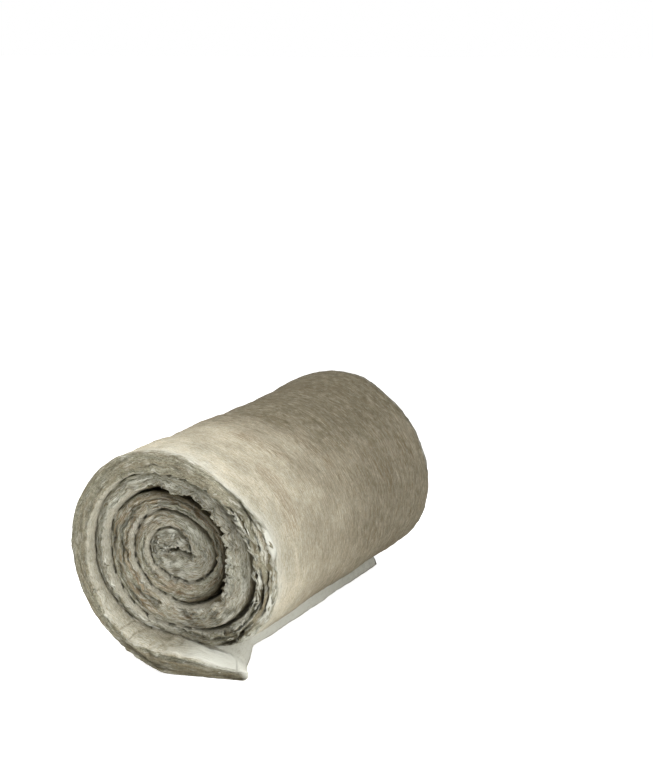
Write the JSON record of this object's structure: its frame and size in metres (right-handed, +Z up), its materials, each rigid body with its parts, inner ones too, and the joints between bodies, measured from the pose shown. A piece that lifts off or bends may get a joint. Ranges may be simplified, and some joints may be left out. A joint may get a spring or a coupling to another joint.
{
  "type": "insulation roll",
  "caption": "Long mat of mineral wool wound into a soft oval roll that lies on its side, its turns showing on the end and its tail flat under it.",
  "frame": {"origin": "on the floor, under the middle of the roll's bounding box", "axes": "+Y along the roll, away from the end that shows its turns; +X to the side where the tail lies; +Z up"},
  "size_m": [0.4512, 1.2, 0.4765],
  "materials": {
    "wool": "matt, fibrous"
  },
  "bodies": {
    "root": {"wool_mat": "wool"}
  },
  "joints": []
}
